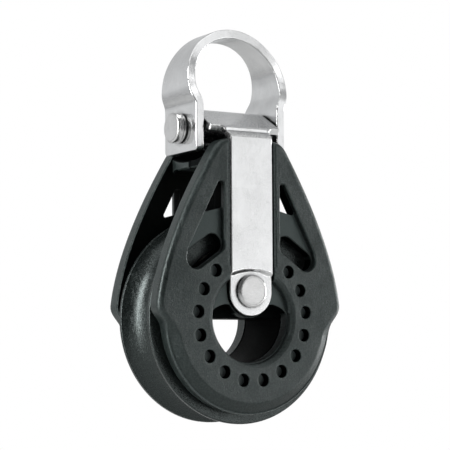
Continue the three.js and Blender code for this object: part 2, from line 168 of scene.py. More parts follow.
def inset(outline, amount):
    """A closed outline moved inwards by amount, which is a number or one number for each point."""
    count = len(outline)
    area = sum(outline[i - 1].x * outline[i].y - outline[i].x * outline[i - 1].y for i in range(count))
    side = 1 if area > 0 else -1
    result = []
    for i, here in enumerate(outline):
        before = (here - outline[i - 1]).normalized()
        after = (outline[(i + 1) % count] - here).normalized()
        first = Vector((-before.y, before.x)) * side
        second = Vector((-after.y, after.x)) * side
        distance = amount[i] if isinstance(amount, list) else amount
        result.append(here + distance * (first + second) / max(1 + first.dot(second), 0.4))
    return result


def mirrored(points):
    return [Vector((-p.x, p.y)) for p in reversed(points)]


def flipped(pairs):
    """A profile or a list of layers again, from its far end, with each second value negated."""
    return [(first, -second) for first, second in reversed(pairs)]


square = rounded([(0, 0, 1), (4, 0, 1), (4, 4, 1), (0, 4, 1)])
print("a rounded square has", len(square), "points, and moved in by 1 it spans", inset(square, 1)[0])

# %% [markdown]
# ## Three ways to a solid
# A skin is drawn over a row of rings that all have the same number of points: the first
# ring is filled, its edges are extruded to the next ring, and so on, and the last one is
# filled too. A turned piece is a profile that is spun about an axle. Holes and pockets
# are cut with a second solid, whose own lips flare where they pass the surface, so that
# the hole gets a softened edge instead of a knife edge.

# %% A skin over rings
def tidy_shell():
    """In edit mode: merges doubles, drops loose bits and turns all faces outwards."""
    bpy.ops.mesh.select_all(action="SELECT")
    bpy.ops.mesh.remove_doubles(threshold=1e-5)
    bpy.ops.mesh.delete_loose()
    bpy.ops.mesh.select_all(action="SELECT")
    bpy.ops.mesh.normals_make_consistent(inside=False)


def skin(name, rings):
    nothing_selected()
    bpy.ops.mesh.primitive_circle_add(vertices=len(rings[0]), radius=1)
    piece = bpy.context.object
    piece.name = name
    bpy.ops.object.mode_set(mode="EDIT")
    bpy.ops.mesh.select_mode(type="EDGE")
    shell = bmesh.from_edit_mesh(piece.data)
    place = shell.verts.layers.int.new("place")
    for i, corner in enumerate(shell.verts):
        corner[place] = i
        corner.co = rings[0][i]
    bpy.ops.mesh.edge_face_add()
    for ring in rings[1:]:
        bpy.ops.mesh.extrude_edges_move()
        shell = bmesh.from_edit_mesh(piece.data)
        place = shell.verts.layers.int["place"]
        for corner in shell.verts:
            if corner.select:
                corner.co = ring[corner[place]]
        bmesh.update_edit_mesh(piece.data)
    bpy.ops.mesh.edge_face_add()
    tidy_shell()
    bpy.ops.object.mode_set(mode="OBJECT")
    piece.data.attributes.remove(piece.data.attributes["place"])
    return piece


def layered(name, outline, layers):
    """A skin over one outline in X and Z. Each layer is (how far in, how deep along -Y)."""
    return skin(name, [[(p.x, -depth, p.y) for p in inset(outline, amount)] for amount, depth in layers])


# %% A turned piece
def turned(name, profile, steps, axle_axis="Y"):
    """Spins a closed profile of (radius, place along the axle) about Y or X."""
    nothing_selected()
    bpy.ops.mesh.primitive_circle_add(vertices=len(profile), radius=1)
    piece = bpy.context.object
    piece.name = name
    for corner, (radius, along) in zip(piece.data.vertices, profile):
        corner.co = (radius, along, 0) if axle_axis == "Y" else (along, 0, radius)
    bpy.ops.object.mode_set(mode="EDIT")
    bpy.ops.mesh.select_all(action="SELECT")
    axis = (0, 1, 0) if axle_axis == "Y" else (1, 0, 0)
    bpy.ops.mesh.spin(steps=steps, angle=2 * math.pi, center=(0, 0, 0), axis=axis)
    tidy_shell()
    bpy.ops.object.mode_set(mode="OBJECT")
    return piece


# %% Cutting, joining and shading
def shaped(piece, tool, how="DIFFERENCE"):
    """Cuts piece with tool, joins them or keeps what they share, and uses tool up."""
    only(piece)
    bpy.ops.object.modifier_add(type="BOOLEAN")
    step = piece.modifiers[-1]
    step.operation = how
    step.solver = "EXACT"
    step.object = tool
    bpy.ops.object.modifier_apply(modifier=step.name)
    bpy.data.objects.remove(tool)
    return piece


def banded(piece, places, normal):
    """Cuts every face of a piece along parallel planes, without taking it apart."""
    only(piece)
    bpy.ops.object.mode_set(mode="EDIT")
    for place in places:
        bpy.ops.mesh.select_all(action="SELECT")
        point = (place, 0, 0) if normal == "X" else (0, 0, place)
        plane = (1, 0, 0) if normal == "X" else (0, 0, 1)
        bpy.ops.mesh.bisect(plane_co=point, plane_no=plane)
    bpy.ops.object.mode_set(mode="OBJECT")


def moved(piece, x=0, y=0, z=0):
    only(piece)
    bpy.ops.transform.translate(value=(x, y, z))
    bpy.ops.object.transform_apply(location=True, rotation=True, scale=True)
    return piece


def copy_of(piece, name):
    only(piece)
    bpy.ops.object.duplicate()
    twin = bpy.context.object
    twin.name = name
    return twin


def joined(pieces):
    nothing_selected()
    for piece in pieces:
        piece.select_set(True)
    bpy.context.view_layer.objects.active = pieces[0]
    bpy.ops.object.join()
    return bpy.context.object


def softly_shaded(piece, angle=35):
    """Smooth curves, crisp edges, and flat faces that stay flat beside a rounded edge."""
    only(piece)
    bpy.ops.object.shade_smooth_by_angle(angle=math.radians(angle))
    bpy.ops.object.modifier_add(type="WEIGHTED_NORMAL")
    step = piece.modifiers[-1]
    step.weight = 80
    step.keep_sharp = True
    bpy.ops.object.modifier_apply(modifier=step.name)
    return piece


def flaws(piece):
    """How many edges of a shell don't have exactly two faces."""
    shell = bmesh.new()
    shell.from_mesh(piece.data)
    count = sum(1 for edge in shell.edges if len(edge.link_faces) != 2)
    shell.free()
    return count


def told(label, piece):
    print(label + ":", len(piece.data.vertices), "corners,", flaws(piece), "flaws")


print("ready to model")

# %% [markdown]
# ## The cheeks
# Each cheek is a flat moulding with a teardrop outline and a round lower half. Seen from
# the side, the teardrop has a rounded edge of about a millimetre. The round half has a
# crease two millimetres in, and from there the face slopes down to a small bead at the
# rim. A single bevel can't be both. So the plate is a skin over rings, and each point of
# the outline carries a share that says how much of the lower slope it takes. The share
# grows quickly below the shoulder. The finished plate is cut into small squares, so that
# no later cut has to deal with a face that has hundreds of corners.

# %% The teardrop's outline
CHEEK_FACE = -node_mm("front_cheek")[0].y
CHEEK_INNER = 6.6
CHEEK_TOP = node_mm("front_cheek")[1].z
SHOULDER = node_mm("front_cheek")[1].x
DISC_R = 18.2
print("face", round(CHEEK_FACE, 3), "top", round(CHEEK_TOP, 3), "shoulder", round(SHOULDER, 3))

side = [Vector((0, CHEEK_TOP)), Vector((5, CHEEK_TOP))]
side += curve((5, CHEEK_TOP), (7, CHEEK_TOP), (7.8, 32.4), (8.6, 31), 12)[1:]
side += curve((8.6, 31), (0.68 * SHOULDER, 22.5), (SHOULDER - 1.2, 12), (SHOULDER, 2.6), 40)[1:]
side += curve((SHOULDER, 2.6), (SHOULDER + 0.15, 1.2), (SHOULDER - 0.8, 0.4), (SHOULDER - 1.7, -0.8), 14)[1:]
side += curve((SHOULDER - 1.7, -0.8), (DISC_R, -1.2), (18.01, -2.8), (17.80, -3.78), 10)[1:]
side += arc((0, 0), DISC_R, -12, -90, 60)[1:]
side = spaced(side, 0.6)
cheek_outline = side + mirrored(side)[1:-1]
print("the cheek's outline has", len(cheek_outline), "points")

# %% The plate
rounded_edge = [
    (0.25, 6.6), (0, 6.85), (0, 8.0), (0, 8.75), (0, 9.0), (0.04, 9.3),
    (0.15, 9.55), (0.32, 9.78), (0.55, 9.95), (0.82, 10.06), (1.1, 10.1),
]
sloped_edge = [
    (0.25, 6.6), (0, 6.85), (0, 8.5), (0.03, 8.75), (0.12, 8.9), (0.28, 8.94),
    (0.4, 8.87), (0.52, 8.95), (1.95, 9.88), (2.15, 10.01), (2.42, 10.1),
]


def eased(value):
    value = min(max(value, 0), 1)
    return value * value * (3 - 2 * value)


rings = []
for (near, shallow), (far, deep) in zip(rounded_edge, sloped_edge):
    shares = [eased((-0.2 - p.y) / 3.6) for p in cheek_outline]
    amounts = [near + (far - near) * share for share in shares]
    depths = [shallow + (deep - shallow) * share for share in shares]
    ring = inset(cheek_outline, amounts)
    rings.append([(p.x, -depth, p.y) for p, depth in zip(ring, depths)])
cheek = skin("front_cheek_moulding", rings)
BAND = 4.1
banded(cheek, [-18.37 + BAND * k for k in range(10)], "X")
banded(cheek, [-15.63 + BAND * k for k in range(12)], "Z")
told("cheek plate", cheek)

# %% [markdown]
# Half of a short bar reaches in from each cheek above the rope, and the two halves meet
# in the middle. It keeps the cheeks apart and stops the rope from jumping over the
# sheave. Its top dips between the cheeks. It is a skin along X over one side view, and it
# is joined to the plate.

# %% The bridge above the rope
def bridge_ring(x, amount):
    end = -0.15
    wall = -CHEEK_INNER - 0.6
    outline = [Vector((end, 28.9)), Vector((end, 30.3))]
    outline += curve((end, 30.3), (-2.6, 30.3), (-4.4, 30.5), (wall, 31.6), 10)[1:]
    outline += [Vector((wall, 27.3))]
    outline += curve((wall, 27.3), (-6.5, 28.4), (-6.2, 28.9), (-4.9, 28.9), 6)[1:]
    return [(x, p.x, p.y) for p in inset(outline, amount)]


bridge_layers = [(-7.9, 0.25), (-7.65, 0), (7.65, 0), (7.9, 0.25)]
bridge = skin("bridge", [bridge_ring(x, amount) for x, amount in bridge_layers])
shaped(cheek, bridge, "UNION")
told("with its bridge", cheek)

# %% [markdown]
# The strap lies in a channel down the middle of the cheek. The channel is a U with a
# round lower end, because the strap's end is round, and that end sits half a millimetre
# deeper. Beside the channel the mould leaves a narrow rebate, which shows as a fine line.

# %% The strap's channel
PANEL_FACE = CHEEK_FACE - 0.2
STEEL = 1.3
CHANNEL = 4.9
REBATE = 5.4
PAD_TOP = 9.05
RIVET_Z = 5.0
RIVET_HOLE_R = 2.45
WITHIN = 5.5
BEYOND = 12


def upright(half, bottom, top):
    return [Vector((-half, bottom)), Vector((half, bottom)), Vector((half, top)), Vector((-half, top))]


def lipped(name, outline, floor, face, fillet, lip):
    """A tool for a blind hole: a fillet round its floor and a lip that flares at the face."""
    layers = [(0, floor)]
    if fillet:
        layers = [(fillet, floor), (0.3 * fillet, floor + 0.3 * fillet), (0, floor + fillet)]
    for k in range(4):
        angle = math.radians(22.5 * k)
        layers.append((-lip * (1 - math.cos(angle)), face - lip * (1 - math.sin(angle))))
    layers.append((-lip, face))
    layers.append((-lip, face + 1.5))
    return layered(name, outline, layers)


channel_floor = PANEL_FACE - STEEL - 0.25
pad_floor = PANEL_FACE - STEEL - 0.75
straight_side = upright(CHANNEL, RIVET_Z, 40)
shaped(cheek, lipped("straight_channel", straight_side, channel_floor, CHEEK_FACE, 0, 0.12))
pad_end = [Vector((CHANNEL, PAD_TOP)), Vector((-CHANNEL, PAD_TOP))]
pad_end += arc((0, RIVET_Z), CHANNEL, 180, 360, 32)
shaped(cheek, lipped("pad_channel", pad_end, pad_floor, CHEEK_FACE, 0, 0.12))
shaped(cheek, lipped("rebate", upright(REBATE, 9.6, 41), CHEEK_FACE - 0.16, CHEEK_FACE, 0, 0.08))
told("channel cut", cheek)

# %% [markdown]
# The middle of the bearing is open, so that a lashing can go through it. Around the
# strap's end the cheek is only set back, as a recess with a flat floor, and below it the
# opening goes right through. Its rim is rounded by a millimetre, because a line runs over
# it. The two humps beside the strap's end are where the recess's floor ends.

# %% The recess and the opening
OPENING_R = 8.4
recess = arc((0, 0), OPENING_R, 0, 360, 96)[:-1]
shaped(cheek, lipped("recess", recess, CHEEK_FACE - 1.5, CHEEK_FACE, 0.25, 1.15))

boss = CHANNEL + 0.1
meet_x = boss * 0.86
meet_z = RIVET_Z - math.sqrt(boss * boss - meet_x * meet_x)
rim_angle = math.degrees(math.asin(0.6 / OPENING_R))
boss_angle = math.degrees(math.atan2(meet_z - RIVET_Z, meet_x))
opening = arc((0, 0), OPENING_R, rim_angle, -180 - rim_angle, 88)
opening += curve(opening[-1], (-7.9, 1.6), (-6.9, 2.15), (-meet_x - 0.9, meet_z + 0.1), 8)[1:]
opening += [Vector((-meet_x, meet_z))]
opening += arc((0, RIVET_Z), boss, 180 - boss_angle, 360 + boss_angle, 24)[1:]
opening += [Vector((meet_x + 0.9, meet_z + 0.1))]
opening += curve((meet_x + 0.9, meet_z + 0.1), (6.9, 2.15), (7.9, 1.6), opening[0], 8)[1:-1]
through_layers = [(0, WITHIN), (0, 8.35), (-0.04, 8.5), (-0.12, 8.56), (-0.25, 8.6), (-0.25, BEYOND)]
shaped(cheek, layered("opening", opening, through_layers))
told("opening cut", cheek)

# %% [markdown]
# Weight is saved beside the strap. On each side there is a three-cornered pocket, and its
# upper part goes right through as a window. A slanting slot goes through its lower end.
# One side is drawn, and the outline is mirrored for the other.

# %% Pockets, windows and slots
POCKET_FLOOR = CHEEK_FACE - 1.2
RIB = CHANNEL + 1.35
pocket = rounded([
    (RIB, 25.5, 0.4), (RIB + 1.05, 25.5, 0.4), (14.1, 12.4, 1.6),
    (13.9, 10.4, 1.6), (12.2, 9.2, 1.2), (RIB, 13.2, 0.6),
])
window = rounded([
    (RIB + 0.02, 25.46, 0.4), (RIB + 1.03, 25.46, 0.4), (10.37, 19.5, 0.45), (RIB + 0.02, 20.6, 0.4),
])
window_layers = [(0, WITHIN), (0, POCKET_FLOOR + 0.5)]
slot_near, slot_far, SLOT_R = (8.1, 13.8), (12.2, 11.0), 1.85
tilt = math.degrees(math.atan2(slot_far[1] - slot_near[1], slot_far[0] - slot_near[0]))
slot = arc(slot_near, SLOT_R, tilt + 90, tilt + 270, 16) + arc(slot_far, SLOT_R, tilt - 90, tilt + 90, 16)
slot_layers = [
    (0, WITHIN), (0, POCKET_FLOOR - 0.3), (-0.06, POCKET_FLOOR - 0.1), (-0.2, POCKET_FLOOR),
    (-0.2, CHEEK_FACE - 0.25), (-0.28, CHEEK_FACE - 0.08), (-0.42, CHEEK_FACE), (-0.42, BEYOND),
]


def on_side(outline, side_sign):
    return [Vector((side_sign * p.x, p.y)) for p in outline]


for turn in (1, -1):
    shaped(cheek, lipped("pocket", on_side(pocket, turn), POCKET_FLOOR, CHEEK_FACE, 0.2, 0.3))
    shaped(cheek, layered("window", on_side(window, turn), window_layers))
    shaped(cheek, layered("slot", on_side(slot, turn), slot_layers))
told("pockets cut", cheek)

# %% [markdown]
# Small blind ports ring the opening, one for each place between the balls that the strap
# leaves uncovered. One cutter is made, copied round the ring and joined, so that a single
# cut makes all fourteen.

# %% The ports
PORTS = 17
PORT_RING = 11.86
PORT_R = 1.2
UNDER_STRAP = 0.6
first_port = lipped("port", arc((0, 0), PORT_R, 0, 360, 28)[:-1], CHEEK_FACE - 1.6, CHEEK_FACE, 0.15, 0.16)
port_angles = [2 * math.pi * (i + 0.5) / PORTS for i in range(PORTS)]
port_places = [(PORT_RING * math.sin(angle), -PORT_RING * math.cos(angle)) for angle in port_angles]
cutters = []
for angle, (x, z) in zip(port_angles, port_places):
    if abs(math.pi - angle) >= UNDER_STRAP:
        cutters.append(moved(copy_of(first_port, "port"), x, 0, z))
bpy.data.objects.remove(first_port)
print(len(cutters), "ports")
shaped(cheek, joined(cutters))



# %% The rivet's hole
def drilled(piece, far_end):
    """Cuts the rivet's hole through a piece, from ahead of it to a place along Y."""
    profile = [(0, -BEYOND), (RIVET_HOLE_R, -BEYOND), (RIVET_HOLE_R, far_end), (0, far_end)]
    shaped(piece, moved(turned("drill", profile, 32), z=RIVET_Z))


drilled(cheek, 0)
softly_shaded(cheek)
told("cheek", cheek)

# %% [markdown]
# ## The sheave and its bearing
# The sheave is a ring with a rope groove around its rim. Its bore is the outer race of
# two rows of balls. It is the simplest kind of turned piece: one closed profile, spun
# about the axle. The groove's section is an arc, and the two rims beside it are narrow,
# with their corners rounded, because a rope would be cut by a sharp one.

# %% The sheave
SHEAVE_R = (sheave_high.x - sheave_low.x) / 2 / MM
SHEAVE_SIDE = (sheave_high.y - sheave_low.y) / 2 / MM
BORE_R = 14.2
GROOVE_DEPTH = 3.4
rim_half = SHEAVE_SIDE - 0.8
groove_r = (rim_half**2 + GROOVE_DEPTH**2) / (2 * GROOVE_DEPTH)
groove_spread = math.degrees(math.asin(rim_half / groove_r))
groove_centre = (SHEAVE_R - GROOVE_DEPTH + groove_r, 0)
groove = arc(groove_centre, groove_r, 180 + groove_spread - 3, 180 - groove_spread + 3, 26)
lower_rim = [
    (BORE_R, -SHEAVE_SIDE + 0.4), (BORE_R + 0.12, -SHEAVE_SIDE + 0.12), (BORE_R + 0.4, -SHEAVE_SIDE),
    (17.2, -SHEAVE_SIDE), (17.5, -SHEAVE_SIDE + 0.06), (18.6, -SHEAVE_SIDE + 0.06), (18.9, -SHEAVE_SIDE),
]
lower_rim += arc((SHEAVE_R - 0.3, -SHEAVE_SIDE + 0.3), 0.3, -90, 0, 5)
lower_rim += arc((SHEAVE_R - 0.25, -rim_half - 0.06), 0.25, 0, 48, 4)
sheave = turned("grooved_sheave", lower_rim + groove + flipped(lower_rim), 120)
softly_shaded(sheave, 40)
told("sheave", sheave)

# %% [markdown]
# The inner race fills the middle of the sheave between the cheeks. It is turned, and its
# lower half is then cut out, so the through opening has a flat top. The cutter has a
# slightly larger layer at each end, which rounds the opening's edges.

# %% The inner race
race_side = node_mm("inner_race")[1].y
RACE_R, TRACK_R = 11.4, 10.6
race_profile = [
    (0, -race_side), (RACE_R - 0.15, -race_side), (RACE_R, -race_side + 0.15), (RACE_R, -5.1),
    (TRACK_R, -5.1), (TRACK_R, -1.3), (RACE_R, -1.3),
]
race_profile += flipped(race_profile)
inner_race = turned("inner_bearing_race", race_profile, 96)
half_moon = arc((0, 0), OPENING_R, 180, 360, 60)
half_moon_layers = [(-0.3, -race_side - 1), (-0.3, -race_side), (-0.09, -race_side + 0.09), (0, -race_side + 0.3)]
half_moon_layers += flipped(half_moon_layers)
shaped(inner_race, layered("half_moon", half_moon, half_moon_layers))
drilled(inner_race, BEYOND)
softly_shaded(inner_race)
told("inner race", inner_race)

# %% [markdown]
# The balls are moulded from acetal. A moulded ball isn't a perfect sphere: it has a fine
# raised seam where the mould's halves met. One ball is turned from half a circle with
# that seam in its profile, and then copied to every place in the two rows.

# %% One ball, copied round both rows
ball_low, ball_high = node_mm("ball_front_01")
BALL_R = (ball_high.x - ball_low.x) / 2
half_circle = [Vector((0, -BALL_R))] + arc((0, 0), BALL_R, -80, 80, 14) + [Vector((0, BALL_R))]
half_circle = [(p.x * (1.004 if abs(p.y) < 0.05 else 1), p.y) for p in half_circle]
first_ball = turned("ball", half_circle, 24)
softly_shaded(first_ball, 60)
balls = {}
for node in sorted(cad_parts):
    if node.startswith("ball_"):
        low, high = node_mm(node)
        middle = (low + high) / 2
        ball = copy_of(first_ball, node.replace("ball_", "bearing_ball_"))
        bpy.ops.transform.rotate(value=0.7 * len(balls), orient_axis="X", center_override=(0, 0, 0))
        bpy.ops.object.transform_apply(location=True, rotation=True, scale=True)
        balls[node] = moved(ball, *middle)
bpy.data.objects.remove(first_ball)
print(len(balls), "balls")

# %% [markdown]
# ## Bent steel: the head strap
# The strap is cut from sheet as a flat blank and then bent: down the front cheek, over
# the pin and down the rear cheek. It is made here in the same order. The blank is drawn
# flat, with its edges already rounded, and is cut into narrow bands across its length.
# Bending then moves each point: how far along the blank it lies says where on the bent
# line it goes, and its height in the sheet says how far from that line.

# %% A bent line and a flat blank
def filleted(corners, steps=6):
    """An open line through corners (y, z, radius of the bend)."""
    points = [Vector(corners[0][:2])]
    for back, here, ahead in zip(corners, corners[1:], corners[2:]):
        middle = Vector(here[:2])
        first = (Vector(back[:2]) - middle).normalized()
        last = (Vector(ahead[:2]) - middle).normalized()
        half = math.acos(max(-1, min(1, first.dot(last)))) / 2
        reach = here[2] / math.tan(half)
        points += curve(middle + first * reach, middle + first * reach * 0.45,
                        middle + last * reach * 0.45, middle + last * reach, steps)
    points.append(Vector(corners[-1][:2]))
    return points


def lengths_of(line):
    result = [0.0]
    for a, b in zip(line, line[1:]):
        result.append(result[-1] + (b - a).length)
    return result


def on_line(line, lengths, along):
    """The point at a length along a line, and the direction to the left of it there."""
    k = 0
    while k < len(line) - 2 and lengths[k + 1] < along:
        k += 1
    part = (along - lengths[k]) / (lengths[k + 1] - lengths[k])

    def left_at(i):
        before = (line[i] - line[max(i - 1, 0)]).normalized()
        after = (line[min(i + 1, len(line) - 1)] - line[i]).normalized()
        heading = (before + after).normalized()
        return Vector((-heading.y, heading.x))

    left = left_at(k).lerp(left_at(k + 1), min(max(part, 0), 1)).normalized()
    return line[k] + (line[k + 1] - line[k]) * part, left


def blank(name, outline, thickness, edge):
    """A flat sheet, its width along X and its length along Z, with rounded edges."""
    half = thickness / 2
    rise = []
    for k in range(4):
        angle = math.radians(30 * k)
        rise.append((edge * (1 - math.sin(angle)), -half + edge * (1 - math.cos(angle))))
    return layered(name, outline, rise + flipped(rise))


print("a bend of 90 degrees in", len(filleted([(0, 0, 0), (5, 0, 1), (5, 5, 0)])), "points")

# %% The strap's bent line
PIN_Z = 36.4
PIN_R = 2.5
HEAD_HALF = node_mm("head_strap")[1].x
PANEL_HALF = 4.65
arch_mid = PIN_R + 0.1 + STEEL / 2
head_reach = PANEL_FACE - 1.7
edge_z = PIN_Z - 0.3
edge_drop = PIN_Z - edge_z
rise = math.asin((arch_mid + STEEL / 2) / math.hypot(head_reach, edge_drop)) + math.atan2(edge_drop, head_reach)
panel_mid = PANEL_FACE - STEEL / 2
edge_mid = (-(head_reach - STEEL / 2 * math.sin(rise)), edge_z - STEEL / 2 * math.cos(rise))
front_line = filleted([
    (-panel_mid, RIVET_Z, 0), (-panel_mid, CHEEK_TOP + 0.6, 0.32), (-(head_reach - 0.5), CHEEK_TOP + 1.5, 0.45),
    (edge_mid[0] - 0.05, edge_mid[1] + 0.15, 0.3),
    (-arch_mid * math.sin(rise), PIN_Z + arch_mid * math.cos(rise), 0),
])
front_line += arc((0, PIN_Z), arch_mid, 90 + math.degrees(rise), 90, 8)[1:]
strap_line = front_line + mirrored(front_line)[1:]
strap_lengths = lengths_of(strap_line)
strap_total = strap_lengths[-1]
bend_start = next(s for p, s in zip(strap_line, strap_lengths) if p.y > CHEEK_TOP - 1.5)
print("the strap's blank is", round(strap_total + 2 * PANEL_HALF, 2), "mm long")

# %% The strap's blank
flare = bend_start + 1.35
middle = strap_total / 2
right_edge = [Vector((PANEL_HALF, flare))]
right_edge += curve(
    right_edge[-1], (PANEL_HALF, flare + 1.0), (PANEL_HALF + 0.3, flare + 1.35),
    (PANEL_HALF + 1.3, flare + 1.45), 8,
)[1:]
right_edge += curve(
    (HEAD_HALF - 0.5, flare + 1.5), (HEAD_HALF - 0.15, flare + 1.52),
    (HEAD_HALF, flare + 1.7), (HEAD_HALF, flare + 2.0), 6,
)
right_edge += [Vector((p.x, 2 * middle - p.y)) for p in reversed(right_edge)]
left_edge = [Vector((-p.x, p.y)) for p in reversed(right_edge)]
near_end = arc((0, 0), PANEL_HALF, 180, 360, 36)
far_end = arc((0, strap_total), PANEL_HALF, 0, 180, 36)
strap = blank("bent_head_strap", near_end + right_edge + far_end + left_edge, STEEL, 0.2)
step_places = [2.5 + 0.12 * k for k in range(18)]
bend_count = int((strap_total - 2 * bend_start + 1.2) / 0.2) + 1
bend_places = [bend_start - 0.6 + 0.2 * k for k in range(bend_count)]
banded(strap, step_places + bend_places + [strap_total - place for place in step_places], "Z")
banded(strap, [-4.35 + 0.58 * k for k in range(16)], "X")
told("blank", strap)

# %% [markdown]
# The round end of the strap lies half a millimetre deeper than the panel. The press that
# set it down left a curved step above the rivet. So before it is bent, each point of the
# blank below that curve is pushed back, with a soft ramp across the curve.

# %% Bending the strap
def bent(piece, line, across, sink=None):
    """Lays a blank along a line. across is "X" or "Y", the way that its width lies."""
    lengths = lengths_of(line)
    for corner in piece.data.vertices:
        width, rise, along = corner.co.x, -corner.co.y, corner.co.z
        if sink:
            rise -= sink(width, along)
        point, left = on_line(line, lengths, along)
        spot = point + left * rise
        corner.co = (width, spot.x, spot.y) if across == "X" else (spot.x, width, spot.y)
    only(piece)
    bpy.ops.object.mode_set(mode="EDIT")
    tidy_shell()
    bpy.ops.object.mode_set(mode="OBJECT")


def round_end_sink(width, along):
    along = min(along, strap_total - along)
    step = 4.0 - width * width / 20.8
    return 0.5 * eased((step + 0.3 - along) / 0.6)


bent(strap, strap_line, "X", round_end_sink)
drilled(strap, BEYOND)
softly_shaded(strap, 30)
told("strap", strap)

# %% [markdown]
# ## Rivet and collar
# A rivet through the bearing's middle pins the strap's two ends. Its head is a low disc
# with a chamfered edge and a fine turned line near its rim. On the rear it is closed over
# a collar. Both are turned about the axle.

# %% The rivet and its collar
rivet_low, rivet_high = node_mm("rivet")
collar_low, collar_high = node_mm("rivet_collar")
HEAD_R = (rivet_high.x - rivet_low.x) / 2


def disc_face(outer, top):
    """The exposed end of a disc, from its rim to its middle, as (radius, depth)."""
    return [
        (outer, top - 0.32), (outer - 0.05, top - 0.2), (outer - 0.3, top - 0.05),
        (outer - 0.42, top - 0.01), (outer - 0.5, top), (outer - 0.56, top),
        (outer - 0.6, top - 0.04), (outer - 0.64, top), (outer - 0.72, top), (0, top),
    ]


head_top = -rivet_low.y
under_head = -head_top + 0.6
SHANK_R = 2.2
rivet_profile = flipped(disc_face(HEAD_R, head_top))
rivet_profile += [(HEAD_R, under_head), (SHANK_R, under_head), (SHANK_R, rivet_high.y), (0, rivet_high.y)]
rivet = moved(softly_shaded(turned("domed_rivet", rivet_profile, 72)), z=RIVET_Z)
collar_profile = [(0, collar_low.y), (HEAD_R, collar_low.y)] + disc_face(HEAD_R, collar_high.y)
collar = moved(softly_shaded(turned("closing_collar", collar_profile, 72)), z=RIVET_Z)
print("rivet:", flaws(rivet), "flaws, collar:", flaws(collar), "flaws")

# %% [markdown]
# ## The shackle and its pin
# The shackle is another bent blank. Its legs are wide, with small corners at their lower
# ends, and the strip narrows over the bow towards the crown, where it would touch a
# fitting. The legs are pinched together below the bow, so there is a quick bend at each
# neck. The pin passes through both legs and under the strap's arch.

# %% The shackle's bent line and blank
shackle_low, shackle_high = node_mm("shackle")
SHACKLE = 1.7
LEG_X = HEAD_HALF + 0.4 + SHACKLE / 2
LEG_HALF = shackle_high.y
BOW_MID_R = shackle_high.x - SHACKLE / 2
BOW_Z = shackle_high.z - shackle_high.x
bow_start = Vector((BOW_MID_R * math.cos(-0.12), BOW_Z + BOW_MID_R * math.sin(-0.12)))
leg = [Vector((LEG_X, shackle_low.z)), Vector((LEG_X, PIN_Z + 3.6))]
leg += curve(leg[-1], (LEG_X, PIN_Z + 5.4), (bow_start.x - 0.25, bow_start.y - 1.6), bow_start, 12)[1:]
leg += arc((0, BOW_Z), BOW_MID_R, math.degrees(-0.12), 90, 48)[1:]
shackle_line = leg + mirrored(leg)[1:]
shackle_lengths = lengths_of(shackle_line)
shackle_total = shackle_lengths[-1]

neck = PIN_Z + 4.6
side_view = [Vector((LEG_HALF, 0)), Vector((LEG_HALF, neck - 0.6))]
side_view += curve(side_view[-1], (LEG_HALF, neck + 0.4), (5.75, neck + 2.0), (5.2, BOW_Z), 10)[1:]
CROWN_HALF = 3.1
crown_below, crown_above = (CROWN_HALF, shackle_high.z - 3.5), (CROWN_HALF, shackle_high.z + 1)
side_view += curve((5.2, BOW_Z), (4.3, BOW_Z + 4.5), crown_below, crown_above, 20)[1:]


def half_width(height):
    for low, high in zip(side_view, side_view[1:]):
        if height <= high.y:
            return low.x + (high.x - low.x) * (height - low.y) / (high.y - low.y)
    return side_view[-1].x


LEG_CORNER = 0.8
edge = arc((LEG_HALF - LEG_CORNER, LEG_CORNER), LEG_CORNER, -90, 0, 6)
for p, along in zip(shackle_line, shackle_lengths):
    if LEG_CORNER + 0.1 < along <= shackle_total / 2:
        edge.append(Vector((half_width(p.y), along)))
edge += [Vector((p.x, shackle_total - p.y)) for p in reversed(edge[:-1])]
shackle = blank("bow_shackle", edge + [Vector((-p.x, p.y)) for p in reversed(edge)], SHACKLE, 0.22)
neck_place = PIN_Z + 3.2 - shackle_low.z
BOW_STEP = 0.33
bow_count = int((shackle_total - 2 * neck_place) / BOW_STEP) + 1
banded(shackle, [neck_place + BOW_STEP * k for k in range(bow_count)], "Z")
bent(shackle, shackle_line, "Y")
told("shackle", shackle)

# %% The holes for the pin
leg_in, leg_out = LEG_X - SHACKLE / 2, LEG_X + SHACKLE / 2
past_legs = 13
PIN_HOLE_R = 2.6
MOUTH_R = 2.78
bore = [
    (MOUTH_R, leg_in), (2.65, leg_in + 0.04), (PIN_HOLE_R, leg_in + 0.18),
    (PIN_HOLE_R, leg_out - 0.18), (2.65, leg_out - 0.04), (MOUTH_R, leg_out), (MOUTH_R, past_legs),
]
pin_bore = [(0, -past_legs)] + flipped(bore) + bore + [(0, past_legs)]
shaped(shackle, moved(turned("pin_bore", pin_bore, 64, "X"), z=PIN_Z))
softly_shaded(shackle, 30)
told("with its holes", shackle)

# %% The pin
pin_low, pin_high = node_mm("shackle_pin")
PIN_HEAD_R = (pin_high.z - pin_low.z) / 2
head_base = leg_out + 0.25
head_end = -pin_low.x
PIN_HEAD_ROUND = 0.42
pin_profile = [(0, -head_end), (PIN_HEAD_R - 0.62, -head_end), (PIN_HEAD_R - 0.5, -head_end + 0.02)]
for k in range(6):
    angle = math.radians(10 + 16 * k)
    pin_profile.append((
        PIN_HEAD_R - PIN_HEAD_ROUND + PIN_HEAD_ROUND * math.sin(angle),
        -head_end + 0.46 - PIN_HEAD_ROUND * math.cos(angle),
    ))
under_rim = [(0, 0.55), (0.12, 0.47), (0.22, 0.38), (0.1, 0.3), (0.06, 0.2), (0.06, 0.05), (0.12, 0)]
pin_profile += [(PIN_HEAD_R - inwards, -head_base - along) for inwards, along in under_rim]
pin_profile += [
    (PIN_R, -head_base), (PIN_R, pin_high.x - 0.3), (PIN_R - 0.09, pin_high.x - 0.09),
    (PIN_R - 0.3, pin_high.x), (0, pin_high.x),
]
pin = moved(softly_shaded(turned("headed_pin", pin_profile, 72, "X")), z=PIN_Z)
told("pin", pin)

